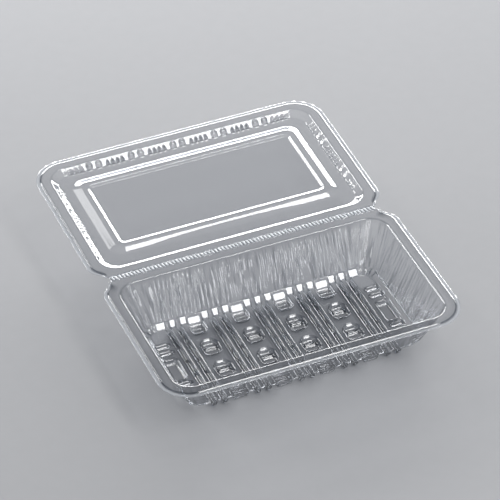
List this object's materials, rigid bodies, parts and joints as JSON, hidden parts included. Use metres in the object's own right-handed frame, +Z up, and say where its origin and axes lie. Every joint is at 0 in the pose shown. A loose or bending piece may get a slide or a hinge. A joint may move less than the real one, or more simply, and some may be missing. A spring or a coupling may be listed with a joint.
{
  "type": "hinged clear food pack",
  "caption": "Clear thermoformed food pack: a rectangular tray with a ribbed, footed floor and a shallow lid on a living hinge along one long side, lying open.",
  "frame": {"origin": "centre of the open pack's box, at the level of the tray's feet: on the hinge line in plan", "axes": "+X along the hinge, +Y from the hinge towards the open lid with the tray on the -Y side, +Z up out of the tray's mouth"},
  "size_m": [0.196, 0.2372, 0.037],
  "materials": {
    "tray_sheet": "clear glossy oriented polystyrene sheet",
    "lid_sheet": "clear glossy oriented polystyrene sheet",
    "hinge_web": "clear sheet, coined thin and ribbed",
    "hinge_web_lid": "clear sheet, coined thin and ribbed"
  },
  "bodies": {
    "tray": {"base_tray": "tray_sheet", "hinge_leaf_base": "hinge_web"},
    "lid": {"lid": "lid_sheet", "hinge_leaf_lid": "hinge_web_lid"}
  },
  "joints": [
    {"name": "lid_hinge", "type": "hinge", "parent": "tray", "child": "lid", "pos_m": [0, 0, 0.03415], "axis": [1, 0, 0], "range_deg": [0, 178.5]}
  ]
}
